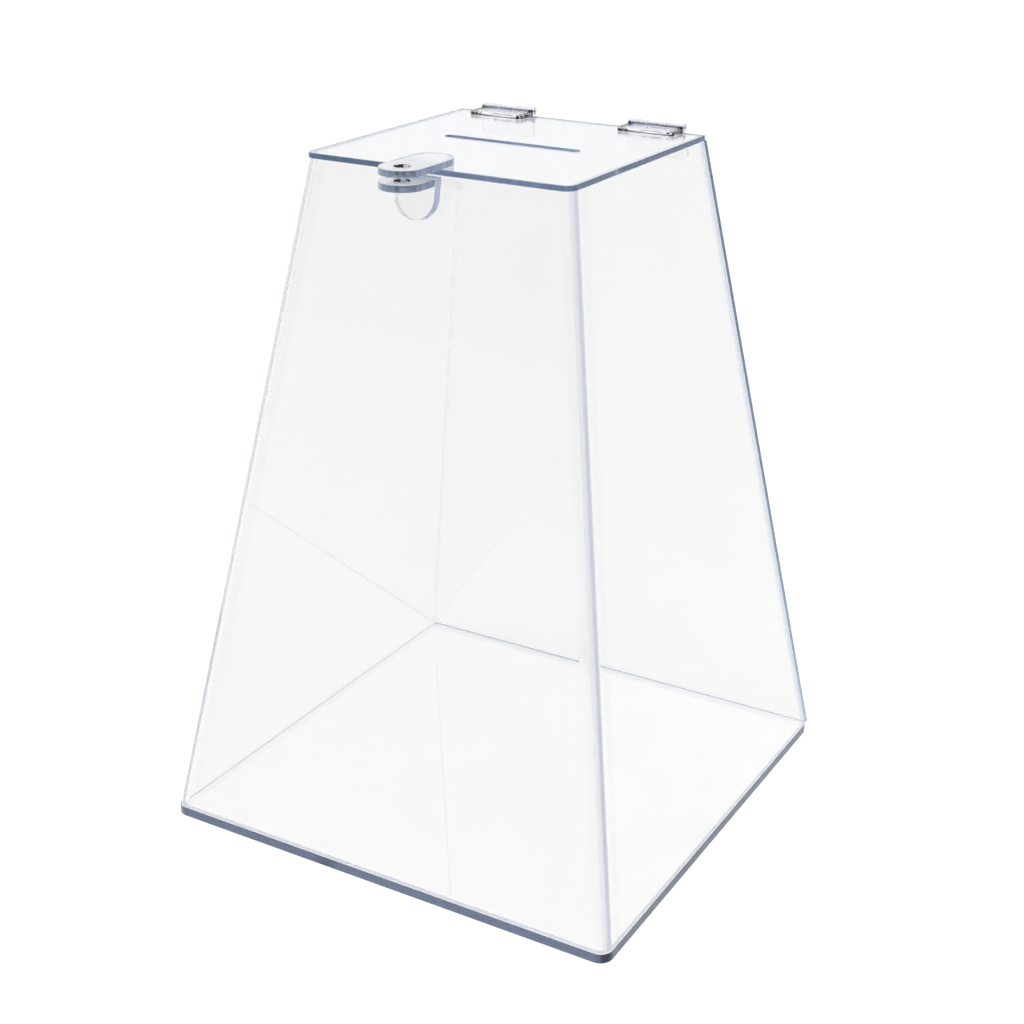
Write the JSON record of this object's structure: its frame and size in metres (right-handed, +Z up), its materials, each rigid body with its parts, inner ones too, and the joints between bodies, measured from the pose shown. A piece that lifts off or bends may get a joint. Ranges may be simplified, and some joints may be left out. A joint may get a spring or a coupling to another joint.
{
  "type": "ballot box",
  "caption": "Clear tapered ballot box on a square base, with a slotted lid on rear hinges and a padlock hasp at the front.",
  "frame": {"origin": "middle of the base plate's underside", "axes": "+Z up, the hasp at the front (-Y), the hinges at the back (+Y), +X to the right seen from the front"},
  "size_m": [0.3, 0.3, 0.4095],
  "materials": {
    "base": "clear cast acrylic plate, polished edges that look blue-grey",
    "walls": "clear acrylic sheet, heat-bent at the front corners, blue-grey cut edges",
    "lid": "clear acrylic sheet, polished blue-grey edges",
    "hasp": "clear acrylic, polished blue-grey edges",
    "hinge": "clear moulded acrylic",
    "hinge_pin": "clear plastic rod"
  },
  "bodies": {
    "box": {"base_plate": "base", "body_shell": "walls", "back_panel": "walls", "hasp_leg": "hasp", "hasp_shelf": "hasp", "left_hinge_wall_leaf": "hinge", "left_hinge_pin": "hinge_pin", "right_hinge_wall_leaf": "hinge", "right_hinge_pin": "hinge_pin"},
    "lid": {"lid_panel": "lid", "hasp_tab": "hasp", "left_hinge_lid_leaf": "hinge", "right_hinge_lid_leaf": "hinge"}
  },
  "joints": [
    {"name": "lid_hinge", "type": "hinge", "parent": "box", "child": "lid", "pos_m": [0, 0.08389, 0.40725], "axis": [-1, 0, 0], "range_deg": [0, 260]}
  ]
}
